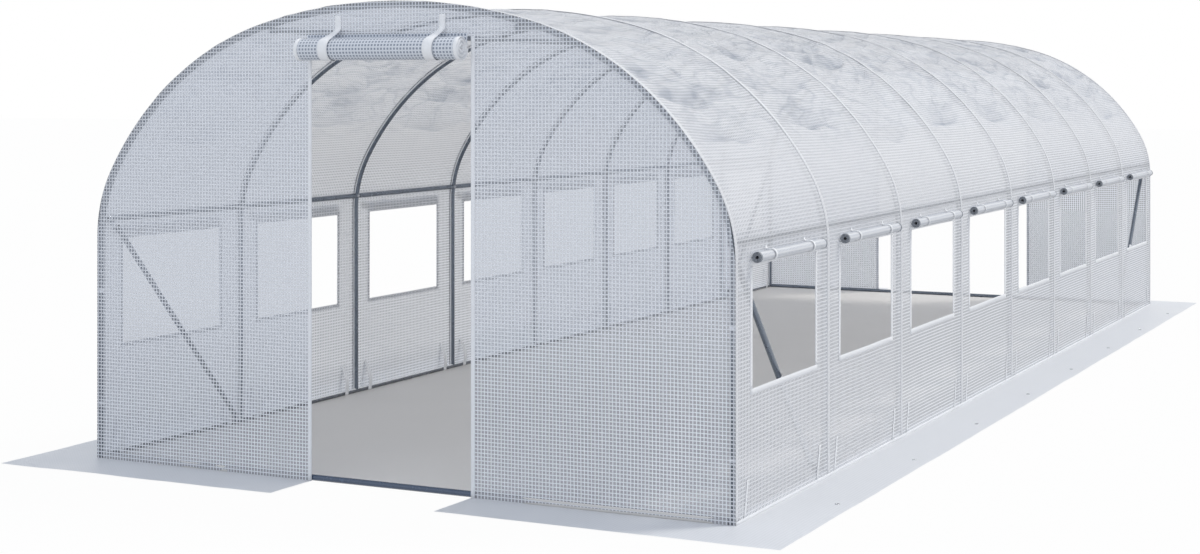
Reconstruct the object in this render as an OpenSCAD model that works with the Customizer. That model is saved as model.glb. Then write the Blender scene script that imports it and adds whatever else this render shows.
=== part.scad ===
// Polytunnel greenhouse: a hooped tube frame under a gridded film cover, with roll-up doors at both
// ends and a row of roll-up windows along both walls.
// Millimetres, +Z up, X across the tunnel, Y along it with the front end at -Y.

/* [Tunnel] */
// Length over the two end covers
tunnel_l = 8000; // [7000:10:9600]
// Width over the two wall covers
tunnel_w = 2984; // [2700:2:3400]
// Height of the upright walls, where the roof starts to curve
wall_h = 966; // [950:1:1020]

/* [Roof arch] */
// Outer radius of the tight bend above each wall
haunch_r = 580; // [520:1:640]
// Angle that the tight bend turns through
haunch_angle = 29; // [26:0.5:32]
// Outer radius of the easier bend below the crown
shoulder_r = 1305; // [1200:1:1350]
// Angle that the easier bend turns through
shoulder_angle = 46; // [43:0.5:48]

/* [Frame] */
// Outside diameter of every frame tube
tube_d = 25; // [20:0.5:32]
// Height of the shoulder purlins' centre line above the upright walls
purlin_rise = 69; // [40:1:130]
// Distance of the upper purlins from the ends of the crown, towards the middle of the tunnel
upper_purlin_inset = 38; // [20:1:120]
// Distance along the wall from an end hoop to the top of its brace
brace_top_y = 32; // [30:1:250]
// Distance along the wall from the next hoop back to the foot of the brace
brace_foot_y = 55; // [40:1:120]
// Height of a brace's lower bolt above the centre line of the ground rail
brace_foot_rise = 7.5; // [6:0.5:11]
// Thickness of a brace's flattened end
brace_tab_t = 5; // [3:0.5:8]
// Length of a brace's flattened end
brace_tab_l = 60; // [45:1:90]

/* [Cover] */
// Thickness of the film cover
cover_t = 2; // [1:0.5:3]
// Width of the skirt that lies on the ground round the tunnel
skirt_w = 283; // [150:1:400]
// Thickness of the ground sheet inside the tunnel
ground_sheet_t = 2; // [1:0.5:4]

/* [Doorways] */
// Width of the doorway in the front end
door_w = 750; // [600:2:1000]
// Width of the wider doorway in the rear end
rear_door_w = 1160; // [900:2:1240]
// Height of the end cover above the doorway
header_h = 146; // [110:1:220]
// Width of the hem down each side of a doorway
door_hem_w = 18; // [10:1:40]
// Diameter of the rolled-up door
door_roll_d = 95; // [70:1:110]
// Length of a rolled-up door past each side of its doorway, were it hung in the middle
door_roll_over = 10; // [5:1:60]
// Distance from the middle of a doorway to the middle of its rolled-up door, towards the left
door_roll_shift = 26; // [0:1:40]
// Depth of the rolled-up door's centre line below the top of the doorway
door_roll_drop = 40; // [20:1:60]
// Distance of each door strap from the side of its doorway
door_strap_inset = 130; // [60:1:200]
// Height of the top end of the door straps above the doorway
door_strap_rise = 90; // [75:1:100]
// Width of a door strap
door_strap_w = 26; // [15:1:40]

/* [Windows] */
// Width of a window opening
window_w = 690; // [500:2:760]
// Depth of a window's top edge below the top of the upright wall
window_drop = 24; // [20:1:120]
// Height of a window opening
window_h = 460; // [300:1:464]
// Width of the hem round a window
window_hem_w = 20; // [10:1:24]
// Diameter of a rolled-up window cover
window_roll_d = 44; // [36:1:56]
// Length of a rolled-up window cover past each side of its window
window_roll_over = 17; // [5:1:30]
// Height of a rolled-up cover's centre line above the hem of its window
window_roll_rise = 14; // [12:1:24]
// Distance of each window tie from the side of its window
window_tie_inset = 135; // [60:1:200]
// Length of a window tie above the rolled-up cover's centre line
window_tie_l = 40; // [30:1:60]
// Width of a window tie
window_tie_w = 14; // [8:1:24]

/* [Straps and ties] */
// Thickness of all the straps and ties
strap_t = 1.5; // [0.5:0.5:3]
// Thickness of all the hems
hem_t = 1; // [0.5:0.5:2]
// Height of the top end of the ties that hold the cover to the ground rails
cover_tie_top = 155; // [90:1:250]
// Distance of a cover tie from its hoop
cover_tie_y = 110; // [40:1:300]
// Width of a cover tie
cover_tie_w = 30; // [8:1:45]

/* [Clearances] */
// Gap left between pieces that seat on each other
seat_gap = 0.3; // [0.2:0.05:0.6]

/* [Hidden] */
$fn = 96;
bays = 8;
arc_step = 2.5;
spiral_step = 18;
roll_core_r = 6;
door_turns = 7;
window_turns = 4;
seam_l = 20;
strap_lift = 10;
strap_end = -180;
cover_tie_end = -27;

half_w = tunnel_w / 2;
half_l = tunnel_l / 2;
tube_r = tube_d / 2;
// Depth of the tube centre lines below the outside of the cover
tube_depth = cover_t + seat_gap + tube_r;
rail_x = half_w - tube_depth;
rail_z = tube_r;
frame_half_l = half_l - tube_depth;
pitch = 2 * frame_half_l / bays;

// Centres of the roof's arcs in the plane of a hoop, each arc tangent to the next
shoulder_start = haunch_angle;
crown_start = haunch_angle + shoulder_angle;
crown_angle = 180 - 2 * crown_start;
haunch_c = [half_w - haunch_r, wall_h];
shoulder_c = haunch_c - (shoulder_r - haunch_r) * direction(shoulder_start);
shoulder_end = shoulder_c + shoulder_r * direction(crown_start);
crown_r = shoulder_end.x / cos(crown_start);
crown_c = shoulder_end - crown_r * direction(crown_start);
crown_top = crown_c.y + crown_r;

haunch_tube_r = haunch_r - tube_depth;
shoulder_tube_r = shoulder_r - tube_depth;
crown_tube_r = crown_r - tube_depth;
purlin_z = wall_h + purlin_rise;
purlin_x = haunch_c.x + sqrt(pow(haunch_tube_r, 2) - pow(purlin_rise, 2));
upper_purlin_x = shoulder_end.x - upper_purlin_inset;
upper_purlin_r = crown_r - tube_depth - tube_d - seat_gap;
upper_purlin_z = crown_c.y + sqrt(pow(upper_purlin_r, 2) - pow(upper_purlin_x, 2));

brace_seat = tube_r + seat_gap;
brace_top = [purlin_x - brace_seat, hoop_y(0) + brace_top_y, purlin_z];
brace_foot = [rail_x - brace_seat, hoop_y(1) - brace_foot_y, rail_z + brace_foot_rise];

door_h = crown_top - header_h;
door_roll_z = door_h - door_roll_drop;
door_roll_tail = door_roll_drop + seam_l;
door_strap_top = door_h + door_strap_rise;
window_top = wall_h - window_drop;
window_sill = window_top - window_h;
window_roll_l = window_w + 2 * window_roll_over;
window_tie_y = window_w / 2 - window_tie_inset;
window_roll_z = window_top + window_hem_w + window_roll_rise;
door_roll_u = roll_axis_u(door_roll_d);
window_roll_u = roll_axis_u(window_roll_d);
ground_sheet_edge = sqrt(pow(tube_r, 2) - pow(tube_r - ground_sheet_t, 2)) + seat_gap;

tube_colour = "#737c88";
cover_colour = "#e6e8ee";
strap_colour = "#f6f7fa";
ground_sheet_colour = "#b0b1b3";

HOOPS = [for (i = [0:bays]) str("hoop_", i + 1)];

function direction(a) = [cos(a), sin(a)];
function hoop_y(i) = -frame_half_l + i * pitch;
function bay_y(i) = hoop_y(i) + pitch / 2;

// Angle that the gap between two tube sections takes up on an arc
function gap_angle(r) = 2 * asin(seat_gap / (2 * r));

// Distance from a cover face to the axis of a roll that the end of a strap is tucked behind
function roll_axis_u(roll_d) = seat_gap + strap_t + seat_gap + roll_d / 2;

function arc_points(c, r, from, to) =
    let (n = ceil(abs(to - from) / arc_step))
    [for (i = [0:n]) c + r * direction(from + (to - from) * i / n)];

// Outline of the tunnel's end, a given depth below the outside of the cover
function end_outline(depth) = concat(
    [[half_w - depth, 0]],
    arc_points(haunch_c, haunch_r - depth, 0, shoulder_start),
    arc_points(shoulder_c, shoulder_r - depth, shoulder_start, crown_start),
    arc_points(crown_c, crown_r - depth, crown_start, 180 - crown_start),
    arc_points([-shoulder_c.x, shoulder_c.y], shoulder_r - depth, 180 - crown_start, 180 - shoulder_start),
    arc_points([-haunch_c.x, haunch_c.y], haunch_r - depth, 180 - shoulder_start, 180),
    [[depth - half_w, 0]]
);

// Section of a sheet rolled up on itself, whose last turn leaves upwards on the side of the cover
function rolled_section(r, turns, tail) =
    let (n = ceil(turns * 360 / spiral_step), steps = [0:n])
    let (angle = function (i) 180 + (n - i) * turns * 360 / n)
    let (radius = function (i) roll_core_r + (r - roll_core_r) * i / n)
    concat(
        [for (i = steps) radius(i) * direction(angle(i))],
        [[-r, tail], [cover_t - r, tail]],
        [for (i = steps) (radius(n - i) - cover_t) * direction(angle(n - i))]
    );

// Line from a start point, tangent over a round of a given radius and then on round it to an end angle
function hook_path(start, centre, r, end) =
    let (hook_r = r + seat_gap + strap_t / 2, span = centre - start)
    let (tangent = atan2(span.y, span.x) + asin(hook_r / norm(span)) + 90)
    let (n = ceil((tangent - end) / spiral_step), step = (tangent - end) / n)
    let (corner_r = hook_r / cos(step / 2))
    concat([start], [for (i = [0:n]) centre + corner_r * direction(tangent - (i + 0.5) * step)]);

function unit(v) = v / norm(v);

// Points of a bent line moved sideways by a given distance
function moved_aside(path, distance) =
    let (last = len(path) - 1)
    [for (i = [0:last])
        let (before = unit(path[max(i, 1)] - path[max(i, 1) - 1]))
        let (after = unit(path[min(i + 1, last)] - path[min(i + 1, last) - 1]))
        let (along = unit(before + after))
        path[i] + distance / (along * before) * [-along.y, along.x]];

// Section of a strap that follows a bent line
function strap_section(path) =
    let (one = moved_aside(path, strap_t / 2), other = moved_aside(path, -strap_t / 2))
    concat(one, [for (i = [len(other) - 1:-1:0]) other[i]]);

// An X-Y drawing stood up in the X-Z plane, facing the front
module upright() {
    rotate([90, 0, 0]) children();
}

// A drawing whose X points away from the front cover and whose Y points up
module on_front() {
    translate([0, -half_l, 0]) rotate([90, 0, -90]) children();
}

// A drawing whose X points away from the right wall cover and whose Y points up
module on_right_wall(y) {
    translate([half_w, y, 0]) rotate([90, 0, 0]) children();
}

module left_and_right() {
    children();
    mirror([1, 0, 0]) children();
}

module arc_tube(c, r, from, sweep) {
    translate(c) rotate(from) rotate_extrude(angle = sweep) translate([r, 0]) circle(d = tube_d);
}

// Sheet curved about the origin, from the X axis round towards the Y axis
module arc_sheet(r, sweep) {
    rotate_extrude(angle = sweep) translate([r - cover_t, -half_l]) square([cover_t, tunnel_l]);
}

module tube_along_y(x, y, z, length) {
    translate([x, y, z]) rotate([-90, 0, 0]) cylinder(d = tube_d, h = length);
}

// Bent leg tube of a hoop, saddled over the ground rail at its foot
module hoop_leg() {
    difference() {
        translate([rail_x, rail_z]) rotate([-90, 0, 0]) cylinder(d = tube_d, h = wall_h - rail_z);
        translate([rail_x, rail_z]) cylinder(d = tube_d + 2 * seat_gap, h = 2 * tube_d, center = true);
    }
    arc_tube(haunch_c, haunch_tube_r, 0, haunch_angle);
}

// Hoop of five tube sections that butt end to end: two legs, two shoulders and a crown
module hoop(i) {
    shoulder_gap = gap_angle(shoulder_tube_r);
    crown_gap = gap_angle(crown_tube_r);
    color(tube_colour) translate([0, hoop_y(i), 0]) upright() {
        left_and_right() {
            hoop_leg();
            arc_tube(shoulder_c, shoulder_tube_r, shoulder_start + shoulder_gap,
                shoulder_angle - shoulder_gap);
        }
        arc_tube(crown_c, crown_tube_r, crown_start + crown_gap, crown_angle - 2 * crown_gap);
    }
}

module right_ground_rail() {
    rail_end = frame_half_l + tube_r;
    color(tube_colour) tube_along_y(rail_x, -rail_end, rail_z, 2 * rail_end);
}

module left_ground_rail() {
    mirror([1, 0, 0]) right_ground_rail();
}

// Tube across the end of the tunnel, saddled against the two ground rails
module front_sill_bar() {
    color(tube_colour) difference() {
        translate([-rail_x, -frame_half_l, rail_z]) rotate([0, 90, 0]) cylinder(d = tube_d, h = 2 * rail_x);
        left_and_right() translate([rail_x, -frame_half_l, rail_z]) rotate([90, 0, 0])
            cylinder(d = tube_d + 2 * seat_gap, h = 2 * tube_d, center = true);
    }
}

module rear_sill_bar() {
    mirror([0, 1, 0]) front_sill_bar();
}

// Short tubes that fit between the hoops, in line with them
module right_shoulder_purlin() {
    end_gap = tube_r + seat_gap;
    color(tube_colour) for (i = [0:bays - 1])
        tube_along_y(purlin_x, hoop_y(i) + end_gap, purlin_z, pitch - 2 * end_gap);
}

module left_shoulder_purlin() {
    mirror([1, 0, 0]) right_shoulder_purlin();
}

// Tube from end to end, carried under the hoops
module right_upper_purlin() {
    purlin_end = frame_half_l + tube_r;
    color(tube_colour) tube_along_y(upper_purlin_x, -purlin_end, upper_purlin_z, 2 * purlin_end);
}

module left_upper_purlin() {
    mirror([1, 0, 0]) right_upper_purlin();
}

// Flattened end of a brace, with its bolt at the origin
module brace_tab() {
    linear_extrude(brace_tab_t) {
        circle(d = tube_d);
        translate([0, -tube_r]) square([brace_tab_l, tube_d]);
    }
}

// Diagonal tube on the inside of the frame, from the shoulder purlin to the ground rail
module front_right_brace() {
    span = brace_foot - brace_top;
    bolt_to_bolt = norm(span);
    tube_inset = brace_tab_l - tube_r;
    color(tube_colour) translate(brace_top) rotate([90, 0, 90]) rotate(atan2(span.z, span.y))
        rotate([0, -asin(span.x / bolt_to_bolt), 0]) {
            translate([tube_inset, 0, -tube_r]) rotate([0, 90, 0])
                cylinder(d = tube_d, h = bolt_to_bolt - 2 * tube_inset);
            translate([0, 0, -brace_tab_t]) brace_tab();
            translate([bolt_to_bolt, 0, -brace_tab_t]) rotate(180) brace_tab();
        }
}

module front_left_brace() {
    mirror([1, 0, 0]) front_right_brace();
}

module rear_right_brace() {
    mirror([0, 1, 0]) front_right_brace();
}

module rear_left_brace() {
    mirror([0, 1, 0]) front_left_brace();
}

// Upright wall sheet with one window cut through it in each bay
module right_wall_cover() {
    color(cover_colour) difference() {
        translate([half_w - cover_t, -half_l, 0]) cube([cover_t, tunnel_l, wall_h]);
        for (i = [0:bays - 1])
            translate([half_w - 2 * cover_t, bay_y(i) - window_w / 2, window_sill])
                cube([3 * cover_t, window_w, window_h]);
    }
}

module left_wall_cover() {
    mirror([1, 0, 0]) right_wall_cover();
}

// Side of the roof, drawn from the line where its two bends meet
module right_roof_cover() {
    color(cover_colour) upright() translate(haunch_c) rotate(shoulder_start) {
        mirror([0, 1, 0]) arc_sheet(haunch_r, haunch_angle);
        translate([haunch_r - shoulder_r, 0]) arc_sheet(shoulder_r, shoulder_angle);
    }
}

module left_roof_cover() {
    mirror([1, 0, 0]) right_roof_cover();
}

module crown_cover() {
    color(cover_colour) upright() translate(crown_c) rotate(crown_start) arc_sheet(crown_r, crown_angle);
}

// The part of the end sheet that lies over a given area
module end_sheet(corner, size) {
    color(cover_colour) translate([0, cover_t - half_l, 0]) upright() linear_extrude(cover_t)
        intersection() {
            polygon(end_outline(cover_t));
            translate(corner) square(size);
        }
}

// End sheet from the right side of a doorway of a given width out to the wall
module end_panel(opening_w) {
    end_sheet([opening_w / 2, 0], [half_w, crown_top]);
}

// End sheet above a doorway of a given width
module end_header(opening_w) {
    end_sheet([-opening_w / 2, door_h], [opening_w, header_h]);
}

module front_right_panel() {
    end_panel(door_w);
}

module front_left_panel() {
    mirror([1, 0, 0]) front_right_panel();
}

module front_header_panel() {
    end_header(door_w);
}

module rear_right_panel() {
    mirror([0, 1, 0]) end_panel(rear_door_w);
}

module rear_left_panel() {
    mirror([1, 0, 0]) rear_right_panel();
}

module rear_header_panel() {
    mirror([0, 1, 0]) end_header(rear_door_w);
}

// Strip of the cover laid out on the ground, mitred at the corners
module right_skirt() {
    outer_x = half_w + skirt_w;
    outer_y = half_l + skirt_w;
    color(cover_colour) linear_extrude(cover_t)
        polygon([[half_w, -half_l], [outer_x, -outer_y], [outer_x, outer_y], [half_w, half_l]]);
}

module left_skirt() {
    mirror([1, 0, 0]) right_skirt();
}

// Two strips that stop square at the sides of a doorway of a given width
module end_skirt(opening_w) {
    inner_x = opening_w / 2;
    outer_x = half_w + skirt_w;
    outer_y = half_l + skirt_w;
    color(cover_colour) left_and_right() linear_extrude(cover_t)
        polygon([[inner_x, -half_l], [inner_x, -outer_y], [outer_x, -outer_y], [half_w, -half_l]]);
}

module front_skirt() {
    end_skirt(door_w);
}

module rear_skirt() {
    mirror([0, 1, 0]) end_skirt(rear_door_w);
}

// Strap laid down a cover face, then out over a roll and most of the way round it
module roll_strap(axis_z, tail, top_z, roll_d, width) {
    face_u = seat_gap + strap_t / 2;
    turn = [face_u, axis_z + tail + strap_lift];
    hook = hook_path(turn, [roll_axis_u(roll_d), axis_z], roll_d / 2, strap_end);
    linear_extrude(width, center = true) polygon(strap_section(concat([[face_u, top_z]], hook)));
}

// Door of a given width, rolled up and hung a little to the left
module door_roll(opening_w) {
    color(cover_colour) translate([-door_roll_shift, 0, 0]) on_front() translate([door_roll_u, door_roll_z])
        linear_extrude(opening_w + 2 * door_roll_over, center = true)
            polygon(rolled_section(door_roll_d / 2, door_turns, door_roll_tail));
}

module front_door_roll() {
    door_roll(door_w);
}

module rear_door_roll() {
    mirror([0, 1, 0]) door_roll(rear_door_w);
}

// Pair of straps that hold up the door of a given width
module door_straps(opening_w) {
    strap_x = opening_w / 2 - door_strap_inset;
    color(strap_colour) left_and_right() translate([strap_x, 0, 0]) on_front()
        roll_strap(door_roll_z, door_roll_tail, door_strap_top, door_roll_d, door_strap_w);
}

module front_door_straps() {
    door_straps(door_w);
}

module rear_door_straps() {
    mirror([0, 1, 0]) door_straps(rear_door_w);
}

// Hem down each side of a doorway of a given width, standing on the skirt
module door_hems(opening_w) {
    color(strap_colour) left_and_right() translate([opening_w / 2, -half_l - hem_t, cover_t])
        cube([door_hem_w, hem_t, door_h - cover_t]);
}

module front_door_hems() {
    door_hems(door_w);
}

module rear_door_hems() {
    mirror([0, 1, 0]) door_hems(rear_door_w);
}

module right_window_rolls() {
    color(cover_colour) for (i = [0:bays - 1])
        on_right_wall(bay_y(i)) translate([window_roll_u, window_roll_z])
            linear_extrude(window_roll_l, center = true)
                polygon(rolled_section(window_roll_d / 2, window_turns, seam_l));
}

module left_window_rolls() {
    mirror([1, 0, 0]) right_window_rolls();
}

module right_window_ties() {
    color(strap_colour) for (i = [0:bays - 1], side = [-1, 1])
        on_right_wall(bay_y(i) + side * window_tie_y)
            roll_strap(window_roll_z, seam_l, window_roll_z + window_tie_l, window_roll_d, window_tie_w);
}

module left_window_ties() {
    mirror([1, 0, 0]) right_window_ties();
}

// Hem round each window, on the outside of the wall sheet
module right_window_hems() {
    color(strap_colour) for (i = [0:bays - 1])
        translate([half_w, bay_y(i), window_sill]) difference() {
            translate([0, -window_w / 2 - window_hem_w, -window_hem_w])
                cube([hem_t, window_w + 2 * window_hem_w, window_h + 2 * window_hem_w]);
            translate([-hem_t, -window_w / 2, 0]) cube([3 * hem_t, window_w, window_h]);
        }
}

module left_window_hems() {
    mirror([1, 0, 0]) right_window_hems();
}

// Tie from the inside of the wall cover, leaning in to the ground rail and hooked round it
module cover_tie() {
    start = [seat_gap + strap_t / 2, cover_tie_top];
    hook = hook_path(start, [seat_gap + tube_r, rail_z], tube_r, cover_tie_end);
    linear_extrude(cover_tie_w, center = true) polygon(strap_section(hook));
}

// A pair of ties beside each hoop, and a single one beside each end hoop
module left_cover_ties() {
    color(strap_colour) for (i = [0:bays - 1], y = [hoop_y(i) + cover_tie_y, hoop_y(i + 1) - cover_tie_y])
        translate([cover_t - half_w, y, 0]) upright() cover_tie();
}

module right_cover_ties() {
    mirror([1, 0, 0]) left_cover_ties();
}

// Sheet on the ground, up to the rails and sill bars
module ground_sheet() {
    sheet_x = rail_x - ground_sheet_edge;
    sheet_y = frame_half_l - ground_sheet_edge;
    color(ground_sheet_colour) translate([-sheet_x, -sheet_y, 0])
        cube([2 * sheet_x, 2 * sheet_y, ground_sheet_t]);
}

for (i = [0:bays]) hoop(i);
left_ground_rail();
right_ground_rail();
front_sill_bar();
rear_sill_bar();
left_shoulder_purlin();
right_shoulder_purlin();
left_upper_purlin();
right_upper_purlin();
front_left_brace();
front_right_brace();
rear_left_brace();
rear_right_brace();
left_wall_cover();
right_wall_cover();
left_roof_cover();
right_roof_cover();
crown_cover();
front_left_panel();
front_right_panel();
front_header_panel();
rear_left_panel();
rear_right_panel();
rear_header_panel();
left_skirt();
right_skirt();
front_skirt();
rear_skirt();
front_door_roll();
rear_door_roll();
front_door_straps();
rear_door_straps();
front_door_hems();
rear_door_hems();
left_window_rolls();
right_window_rolls();
left_window_ties();
right_window_ties();
left_window_hems();
right_window_hems();
left_cover_ties();
right_cover_ties();
ground_sheet();
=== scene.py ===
"""Looks of the polytunnel greenhouse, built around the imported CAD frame."""
import math

import bpy
import numpy as np
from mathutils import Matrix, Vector


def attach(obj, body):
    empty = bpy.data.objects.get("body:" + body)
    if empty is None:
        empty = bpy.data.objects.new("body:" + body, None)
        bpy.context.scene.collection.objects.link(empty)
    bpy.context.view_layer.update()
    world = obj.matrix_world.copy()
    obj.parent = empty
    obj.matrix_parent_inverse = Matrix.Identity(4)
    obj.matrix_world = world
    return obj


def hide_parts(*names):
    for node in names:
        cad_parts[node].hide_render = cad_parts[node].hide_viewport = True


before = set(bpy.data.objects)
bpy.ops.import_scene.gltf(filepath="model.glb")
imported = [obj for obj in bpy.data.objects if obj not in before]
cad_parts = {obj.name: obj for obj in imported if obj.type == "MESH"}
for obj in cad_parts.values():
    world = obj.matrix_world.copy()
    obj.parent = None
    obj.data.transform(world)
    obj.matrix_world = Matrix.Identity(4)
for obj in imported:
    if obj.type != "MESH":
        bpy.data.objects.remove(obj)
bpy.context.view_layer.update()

# Sizes in metres, as in the part's source
HALF_W, HALF_L, WALL_H = 1.492, 4.0, 0.966
HAUNCH_R, HAUNCH_A = 0.580, math.radians(29)
SHOULDER_R, SHOULDER_A = 1.305, math.radians(46)
TUBE_R, TUBE_DEPTH, COVER_T = 0.0125, 0.0148, 0.002
RAIL_X, FRAME_HALF_L, BAYS = HALF_W - TUBE_DEPTH, HALF_L - TUBE_DEPTH, 8
PITCH = 2 * FRAME_HALF_L / BAYS
HOOP_Y = [-FRAME_HALF_L + i * PITCH for i in range(BAYS + 1)]
BAY_Y = [y + PITCH / 2 for y in HOOP_Y[:-1]]
PURLIN_X, PURLIN_Z = 1.47297, 1.035
WIN_W, WIN_H, WIN_SILL, WIN_HEM = 0.690, 0.460, 0.482, 0.020
WIN_ROLL_R, WIN_ROLL_L, WIN_ROLL_Z, WIN_TIE_Y = 0.022, 0.724, 0.976, 0.210
BRACE_SEAT, BRACE_TAB_T = TUBE_R + 0.0003, 0.005
BRACE_TOP = np.array([PURLIN_X - BRACE_SEAT, HOOP_Y[0] + 0.032, PURLIN_Z])
BRACE_FOOT = np.array([RAIL_X - BRACE_SEAT, HOOP_Y[1] - 0.055, 0.020])
BRACE_ALONG = (BRACE_FOOT - BRACE_TOP) / np.linalg.norm(BRACE_FOOT - BRACE_TOP)
SKIRT_W, DOOR_H, DOOR_HEM = 0.283, 1.810, 0.018
STRAP_INSET, STRAP_TOP = 0.130, 1.900
ENDS = (("front", -1, 0.750), ("rear", 1, 1.160))  # name, direction along Y, width of the doorway
SIDES = (("left", -1), ("right", 1))  # name, direction along X

# Sizes of the looks
ROLL_R, ROLL_Z, ROLL_OVER, ROLL_SHIFT = 0.0475, 1.763, 0.002, -0.018
STRAP_TURN, STRAP_DRIFT, STRAP_T, STRAP_GAP = 0.077, 0.014, 0.0015, 0.0008
TAIL_POINTS = 2  # last points of a roll's section, which hang straight
SEAT = 0.0021  # space for a strap between a roll and the cover
GRID = 0.015  # pitch of the film's strands
MID_FILM = COVER_T / 2  # depth of the film's middle under its outer face


def toward(angle):
    """Unit vector at an angle from the first axis."""
    return np.array([math.cos(angle), math.sin(angle)])


# The tunnel's outline, from the foot of the left wall over the top to the foot of the right wall
CROWN_FROM = HAUNCH_A + SHOULDER_A
haunch_c = np.array([HALF_W - HAUNCH_R, WALL_H])
shoulder_c = haunch_c - (SHOULDER_R - HAUNCH_R) * toward(HAUNCH_A)
shoulder_end = shoulder_c + SHOULDER_R * toward(CROWN_FROM)
CROWN_R = shoulder_end[0] / math.cos(CROWN_FROM)
crown_c = shoulder_end - CROWN_R * toward(CROWN_FROM)
S_HAUNCH = WALL_H + HAUNCH_R * HAUNCH_A
S_SHOULDER = S_HAUNCH + SHOULDER_R * SHOULDER_A
S_TOP = S_SHOULDER + CROWN_R * (math.pi / 2 - CROWN_FROM)
S_ALL = 2 * S_TOP
S_PURLIN = WALL_H + HAUNCH_R * math.asin((PURLIN_Z - WALL_H) / (HAUNCH_R - TUBE_DEPTH))
ARCS = ((WALL_H, 0.0, haunch_c, HAUNCH_R), (S_HAUNCH, HAUNCH_A, shoulder_c, SHOULDER_R),
        (S_SHOULDER, CROWN_FROM, crown_c, CROWN_R))
ARCH = np.linspace(0.004, S_ALL - 0.004, 200)  # stations of what follows the whole outline


def outline(s):
    """Place and outward direction on the outside of the cover, s metres from the foot of the left wall."""
    s = np.asarray(s, float)
    d = np.where(s > S_TOP, S_ALL - s, s)
    x, z = np.full(d.shape, HALF_W), d.copy()
    nx, nz = np.ones(d.shape), np.zeros(d.shape)
    for start, angle, c, r in ARCS:
        a = angle + (d - start) / r
        on = d > start
        x, z = np.where(on, c[0] + r * np.cos(a), x), np.where(on, c[1] + r * np.sin(a), z)
        nx, nz = np.where(on, np.cos(a), nx), np.where(on, np.sin(a), nz)
    side = np.where(s > S_TOP, 1.0, -1.0)
    return x * side, z, nx * side, nz


def from_foot(s):
    """Distance along the outline from the foot of the nearer wall."""
    return np.minimum(s, S_ALL - s)


def bay_place(y):
    """The bay that a place lies in, counted from the front, and how far across it, from 0 to 1."""
    bay = np.clip((y + FRAME_HALF_L) / PITCH, 0, BAYS - 1e-6)
    return np.floor(bay), bay - np.floor(bay)


TABLE = 256
NOISE_TABLE = np.random.default_rng(41).random((TABLE, TABLE)) * 2 - 1


def noise(x, y):
    """Smooth value noise between -1 and 1 on a unit lattice."""
    x, y = np.broadcast_arrays(np.asarray(x, float), np.asarray(y, float))
    i, j = np.floor(x).astype(int), np.floor(y).astype(int)
    u, v = x - i, y - j
    u, v = u * u * u * (u * (u * 6 - 15) + 10), v * v * v * (v * (v * 6 - 15) + 10)
    i, j, i2, j2 = i % TABLE, j % TABLE, (i + 1) % TABLE, (j + 1) % TABLE
    low = NOISE_TABLE[i, j] * (1 - u) + NOISE_TABLE[i2, j] * u
    high = NOISE_TABLE[i, j2] * (1 - u) + NOISE_TABLE[i2, j2] * u
    return low * (1 - v) + high * v


def noise_side(s):
    """Shift that gives the two sides of the tunnel different noise."""
    return np.where(s > S_TOP, 37.0, 0.0)


def ridges(x, y):
    """Noise folded into sharp creases, from 0 to 1."""
    return 1 - np.abs(noise(x, y))


def smooth(a, b, x):
    """Soft step from 0 at a to 1 at b."""
    t = np.clip((np.asarray(x, float) - a) / (b - a), 0, 1)
    return t * t * (3 - 2 * t)


def over_tube(e):
    """Lowest place of a film over a tube whose axis is e metres to the side."""
    return -(0.0002 + 0.2 * e + 3.0 * np.maximum(0, e - TUBE_R))


# Camera at the photograph's place: level, with the lens shifted down. Rows and focal length in pixels
PHOTO_W, FOCAL, MIDDLE_ROW, HORIZON_ROW, SENSOR = 1200, 1967.0, 277, 82.96, 36
camera = bpy.data.objects.new("camera", bpy.data.cameras.new("camera"))
camera.location = (4.2292, -10.6919, 1.6265)
camera.rotation_euler = (math.radians(90), 0, math.radians(26.188))
camera.data.sensor_width = SENSOR
camera.data.lens = SENSOR * FOCAL / PHOTO_W
camera.data.shift_y = -(MIDDLE_ROW - HORIZON_ROW) / PHOTO_W
camera.data.clip_end = 300
bpy.context.collection.objects.link(camera)
bpy.context.scene.camera = camera
bpy.context.scene.view_settings.view_transform = "Standard"


# Node helpers
def new_material(name):
    mat = bpy.data.materials.new(name)
    mat.use_nodes = True
    mat.node_tree.nodes.clear()
    return mat, mat.node_tree


def add(nt, kind, **values):
    node = nt.nodes.new(kind)
    for key, value in values.items():
        setattr(node, key, value)
    return node


def plug(nt, socket, value):
    """Link an output to a socket, or set the socket to a plain value or a colour of three parts."""
    if hasattr(value, "is_output"):
        nt.links.new(value, socket)
    elif socket.type == "RGBA":
        socket.default_value = (*value, 1)
    else:
        socket.default_value = value


def math_node(nt, op, a, b=0.0, c=0.0):
    node = add(nt, "ShaderNodeMath", operation=op)
    for socket, value in zip(node.inputs, (a, b, c)):
        plug(nt, socket, value)
    return node.outputs[0]


def times(nt, a, b):
    return math_node(nt, "MULTIPLY", a, b)


def apart(nt, a, b):
    """Distance between two values."""
    return math_node(nt, "ABSOLUTE", math_node(nt, "SUBTRACT", a, b))


def node_with(nt, kind, inputs, **values):
    """A node with inputs, given by name, linked or set."""
    node = add(nt, kind, **values)
    for name, value in inputs.items():
        plug(nt, node.inputs[name], value)
    return node


def ramp(nt, value, a, b, low=0.0, high=1.0):
    """Soft step from low at a to high at b."""
    inputs = {"Value": value, "From Min": a, "From Max": b, "To Min": low, "To Max": high}
    return node_with(nt, "ShaderNodeMapRange", inputs, interpolation_type="SMOOTHSTEP").outputs[0]


def uneven(nt, cloud, low, high):
    """A value that follows a noise's middle range from low to high."""
    return ramp(nt, cloud, 0.3, 0.7, low, high)


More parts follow.
